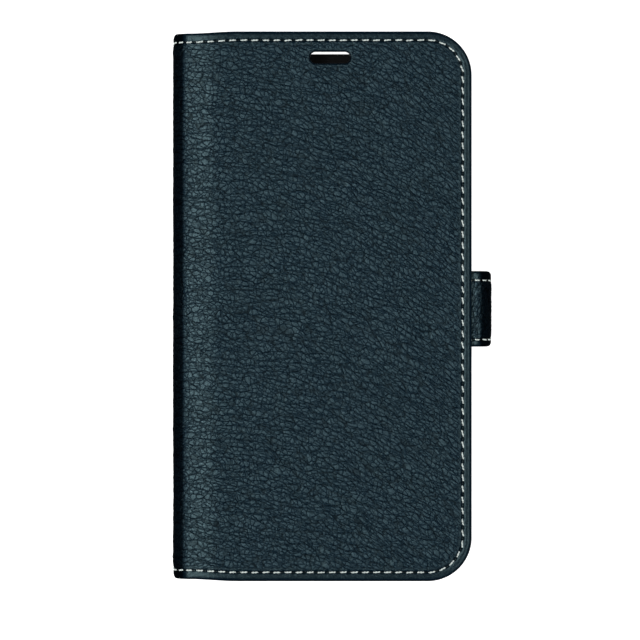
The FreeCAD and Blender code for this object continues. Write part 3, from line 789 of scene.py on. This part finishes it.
def make_strap_half(name, upper):
    """Half of the strap's outer leather, folded to two layers, from mid-strap to its tip or its root."""
    far = STRAP_BEND_END + (STRAP_TIP if upper else STRAP_ROOT)
    corner = STRAP_CORNER if upper else 2.9
    insets = [0.0, 0.04, 0.12, 0.25, 0.42, 0.6, 0.8, 1.0, 1.25, 1.5, 1.75, 2.0, 2.25, 2.5, 2.75]
    wall = [(0, 1.1), (0.06, 1.4), (0.25, 1.68), (0.5, STRAP_GAUGE - 0.02)]
    piece = pattern(name, 0.0, far, STRAP_HALF, corner, insets, wall, STRAP_STEP)
    flat = points_of(piece)
    across, along = flat[:, 0], flat[:, 1]
    going_on = across if upper else -across
    on_face = flat[:, 2] > -1e-3
    inset = -outside(across, along, (far - 100, 0), (100, STRAP_HALF), corner)
    to_row = np.minimum(np.abs(along - STRAP_ROWS[0]), np.abs(along - STRAP_ROWS[1]))
    phase = going_on / STRAP_PITCH
    to_hole = (phase + 0.5) % 1 - 0.5
    drop = shoulder(inset, 1.1, 0.75) + 0.15 * (1 - soft_step(1.8, 4.2, inset))
    drop += 0.15 * bell(to_row, 0.4) + 0.18 * bell(np.hypot(to_row, to_hole * STRAP_PITCH), 0.4)
    drop += 0.04 + 0.04 * waves(going_on, along, 5, 6, 16, 12)
    flat[:, 2] -= np.where(on_face, drop, 0)
    store(piece, "place", np.stack([along + 200, going_on + along * 0.4, -flat[:, 2]], -1))
    store(piece, "relief", np.where(on_face, 0.15 + 0.85 * soft_step(2.2, 3.4, inset), 0.1))
    # painted shade over the strap's bend, and a painted sheen on its flat part by the cover
    bend = soft_step(1.9, 3.3, STRAP_BEND_END - across)
    store(piece, "shade_and_wear", np.stack([bend, 1 - bend, 0 * bend], -1))
    to_seam = np.where(on_face, to_row, 9.0)
    store(piece, "seam", np.stack([phase, to_seam, np.full_like(phase, STRAP_PITCH)], -1))
    set_points(piece, flat)
    emboss(piece, STRAP_EMBOSS)
    finish_piece(piece, "cover_leather", wrap_strap(points_of(piece), upper))
    return piece


def make_strap_lining(name, upper):
    """The cloth on the inside of half the strap."""
    far = STRAP_BEND_END + (STRAP_TIP if upper else -0.4)
    corner = STRAP_CORNER - 0.15 if upper else 2.0
    insets = [0.0, 0.1, 0.4, 1.0, 1.8]
    wall = [(0, STRAP_LINING - 0.02)]
    piece = pattern(name, 0.0, far, STRAP_HALF - 0.15, corner, insets, wall, 0.6)
    flat = points_of(piece)
    on_face = flat[:, 2] > -1e-3
    flat[:, 2] -= np.where(on_face, 0.03 + 0.02 * waves(flat[:, 0], flat[:, 1], 5, 4, 10, 13), 0)
    store(piece, "place", flat)
    flat[:, 2] = -(STRAP_GAUGE + STRAP_LINING) - flat[:, 2]
    finish_piece(piece, "lining", wrap_strap(flat, upper))
    return piece


def make_strap_seam(name, upper):
    far = STRAP_BEND_END + (STRAP_TIP - 2.5 if upper else -0.6)
    heading = 0.0 if upper else math.pi
    places = []
    for row in STRAP_ROWS:
        for count in range(int(far / STRAP_PITCH)):
            places.append(((count + 0.5) * STRAP_PITCH, row, heading))

    def wrap(flat):
        return wrap_strap(flat, upper)

    return make_thread(name, places, STRAP_STITCH, 0.3, wrap)


# ---------------------------------------------------------------- the pockets inside the front cover

POCKET_CORNER = 2.5
POCKET_SEAM_Y = 42.9


def make_pocket(name, node, slant):
    """A leather pocket: its edges turned in, a line pressed along its mouth, and finer grain."""
    low, high = box_mm(node)
    gauge = high[2] - low[2]
    length, half = high[0] - low[0], (high[1] - low[1]) / 2
    insets = [0.0, 0.03, 0.09, 0.18, 0.3, 0.45, 0.65, 0.9, 1.2, 1.6, 1.9, 2.05, 2.2, 2.35]
    wall = [(0, gauge * 0.7), (0.05, gauge * 0.85), (0.14, gauge - 0.01)]
    piece = pattern(name, 0.0, length, half, POCKET_CORNER, insets, wall, POCKET_STEP, near_round=True)
    flat = points_of(piece)
    across, along = flat[:, 0], flat[:, 1]
    on_face = flat[:, 2] > -1e-3
    inset = -outside(across, along, (length / 2, 0), (length / 2, half), POCKET_CORNER)
    drop = shoulder(inset, 0.4, 0.22) + 0.07 * bell(length - across - 2.05, 0.2)
    drop += 0.02 + 0.02 * waves(across, along, 6, 8, 24, int(100 + half))
    flat[:, 2] -= np.where(on_face, drop, 0)
    store(piece, "place", np.stack([across + 300, along * 0.9 + across * slant, -flat[:, 2]], -1))
    store(piece, "relief", np.where(on_face, 0.25 + 0.75 * soft_step(0.5, 2.6, inset), 0.1))
    store(piece, "seam", np.tile([0.0, 9.0, 1.0], (len(flat), 1)))
    store(piece, "shade_and_wear", np.zeros((len(flat), 3)))
    set_points(piece, flat)
    emboss(piece, POCKET_EMBOSS)
    flat = points_of(piece)
    middle_y = (low[1] + high[1]) / 2
    placed = np.stack([low[0] + flat[:, 0], middle_y + flat[:, 1], low[2] - flat[:, 2]], -1)
    finish_piece(piece, "pocket_leather", placed)
    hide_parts(node)
    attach(piece, "cover")


for pocket_name, pocket_node, pocket_slant in [
    ("cash_flap", "cash_sleeve", 0.2),
    ("card_flap_1", "card_pocket_1", 0.3),
    ("card_flap_2", "card_pocket_2", 0.1),
    ("card_flap_3", "card_pocket_3", 0.4),
]:
    make_pocket(pocket_name, pocket_node, pocket_slant)

pocket_seam_low, pocket_seam_high = box_mm("pocket_stitching")
pocket_rows = []
for pocket_side in (-1, 1):
    for pocket_x in np.arange(pocket_seam_low[0] + 1.2, pocket_seam_high[0], SEAM_SPACING):
        pocket_rows.append((pocket_x, pocket_side * POCKET_SEAM_Y, 0.0))


def place_pocket_seam(flat):
    return np.stack([flat[:, 0], flat[:, 1], pocket_seam_low[2] - flat[:, 2]], -1)


pocket_seam = make_thread("pocket_thread", pocket_rows, SEAM_STITCH, 0.2, place_pocket_seam)
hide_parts("pocket_stitching")
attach(pocket_seam, "cover")


# ---------------------------------------------------------------- every soft piece, made in its place


def at(x, z):
    """A point of the frame in metres, in the plane of the bends."""
    return (x * MM, 0.0, z * MM)


def over_fold(piece, upper):
    """Bakes the transform of a piece with a fold into its mesh: the spine and the front cover's, or the back
    cover's and the spine.
    """
    if upper:
        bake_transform(piece)
    else:
        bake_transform(piece)


def over_bend(piece, upper):
    """Bakes the transform of a piece with the strap into its mesh: its side and its tip, or the back cover
    and its side.
    """
    if upper:
        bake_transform(piece)
    else:
        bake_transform(piece)


front_skin = make_skin("front_skin", True)
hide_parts("front_leather", "front_fold_leather")
over_fold(front_skin, True)

back_skin = make_skin("back_skin", False)
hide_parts("back_leather", "back_fold_leather", "spine_leather")
over_fold(back_skin, False)

front_lining = make_lining("front_lining_cloth", True)
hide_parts("front_lining", "front_fold_lining")
over_fold(front_lining, True)

back_lining = make_lining("back_lining_cloth", False)
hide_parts("back_lining", "back_fold_lining", "spine_lining")
over_fold(back_lining, False)

front_seam = make_cover_seam("front_thread", True)
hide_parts("front_stitching")
over_fold(front_seam, True)

back_seam = make_cover_seam("back_thread", False)
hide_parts("back_stitching", "spine_stitching")
over_fold(back_seam, False)

strap_upper = make_strap_half("strap_upper", True)
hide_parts("strap_tip_leather", "strap_upper_bend", "strap_side_leather")
over_bend(strap_upper, True)

strap_lower = make_strap_half("strap_lower", False)
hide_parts("strap_lower_bend", "strap_root")
over_bend(strap_lower, False)

strap_inside = make_strap_lining("strap_upper_lining", True)
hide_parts("strap_tip_lining", "strap_side_lining")
over_bend(strap_inside, True)

strap_inside_low = make_strap_lining("strap_lower_lining", False)
over_bend(strap_inside_low, False)

strap_thread = make_strap_seam("strap_upper_thread", True)
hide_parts("strap_stitching")
over_bend(strap_thread, True)

strap_thread_low = make_strap_seam("strap_lower_thread", False)
over_bend(strap_thread_low, False)


# ---------------------------------------------------------------- floor, light and camera

STAGE_R = 4.0


def glow(name, strength, diffuse):
    """A pale material that is bright by itself, for what stands behind the object."""
    made = bpy.data.materials.new(name)
    made.use_nodes = True
    shader = made.node_tree.nodes["Principled BSDF"]
    shader.inputs["Base Color"].default_value = (diffuse, diffuse, diffuse, 1.0)
    shader.inputs["Specular IOR Level"].default_value = 0.0
    shader.inputs["Roughness"].default_value = 1.0
    shader.inputs["Emission Color"].default_value = (1.0, 1.0, 1.0, 1.0)
    shader.inputs["Emission Strength"].default_value = strength
    return made


def make_stage(name, profile, strength, diffuse):
    """A round floor or dome, in metres, from its profile, that casts no light on the object."""
    turns = np.linspace(0, 2 * math.pi, 65)
    grid = [[(wide * math.cos(t), wide * math.sin(t), tall) for t in turns] for wide, tall in profile]
    made = closed_mesh(name, [np.array(grid)])
    made.data.materials.append(glow(name, strength, diffuse))
    made.visible_diffuse = False
    made.visible_glossy = False
    made.visible_shadow = False
    return made


floor = make_stage("floor", [(0, -0.0002), (STAGE_R, -0.0002)], 0.90, 0.8)
floor.visible_diffuse = True
rises = np.linspace(0, math.pi / 2, 17)
make_stage("backdrop", [(STAGE_R * math.cos(r), STAGE_R * math.sin(r)) for r in rises], 1.0, 0.0)


def softbox(name, angle_deg, distance, width, length, watts):
    """A white area light, in metres, that faces the case from so many degrees right of the vertical."""
    lamp = bpy.data.lights.new(name, "AREA")
    lamp.shape, lamp.size, lamp.size_y = "RECTANGLE", width, length
    lamp.energy = watts
    made = bpy.data.objects.new(name, lamp)
    bpy.context.scene.collection.objects.link(made)
    angle = math.radians(angle_deg)
    made.location = Vector((math.sin(angle), 0.0, math.cos(angle))) * distance
    made.rotation_euler = (0.0, angle, 0.0)


LIGHT_DISTANCE, LIGHT_WIDTH, LIGHT_LENGTH = 1.4, 0.40, 1.5
softbox("light_left", -20, LIGHT_DISTANCE, LIGHT_WIDTH, LIGHT_LENGTH, 17)
softbox("light_right", 24, LIGHT_DISTANCE, LIGHT_WIDTH, LIGHT_LENGTH, 9)

world = bpy.data.worlds.new("world")
bpy.context.scene.world = world
world.use_nodes = True
world.node_tree.nodes["Background"].inputs["Color"].default_value = (0.92, 0.96, 1.0, 1.0)
world.node_tree.nodes["Background"].inputs["Strength"].default_value = 0.05

# the camera looks straight down from this far above the cover, a little off the case's middle
CAMERA_X, CAMERA_Y, CAMERA_RISE = -3.5, -4.1, 1100
camera_data = bpy.data.cameras.new("camera")
camera_data.lens, camera_data.sensor_width = 206.9, 36.0
camera = bpy.data.objects.new("camera", camera_data)
bpy.context.scene.collection.objects.link(camera)
camera.location = (CAMERA_X * MM, CAMERA_Y * MM, (TOP + CAMERA_RISE) * MM)
bpy.context.scene.camera = camera
bpy.context.scene.view_settings.view_transform = "Standard"
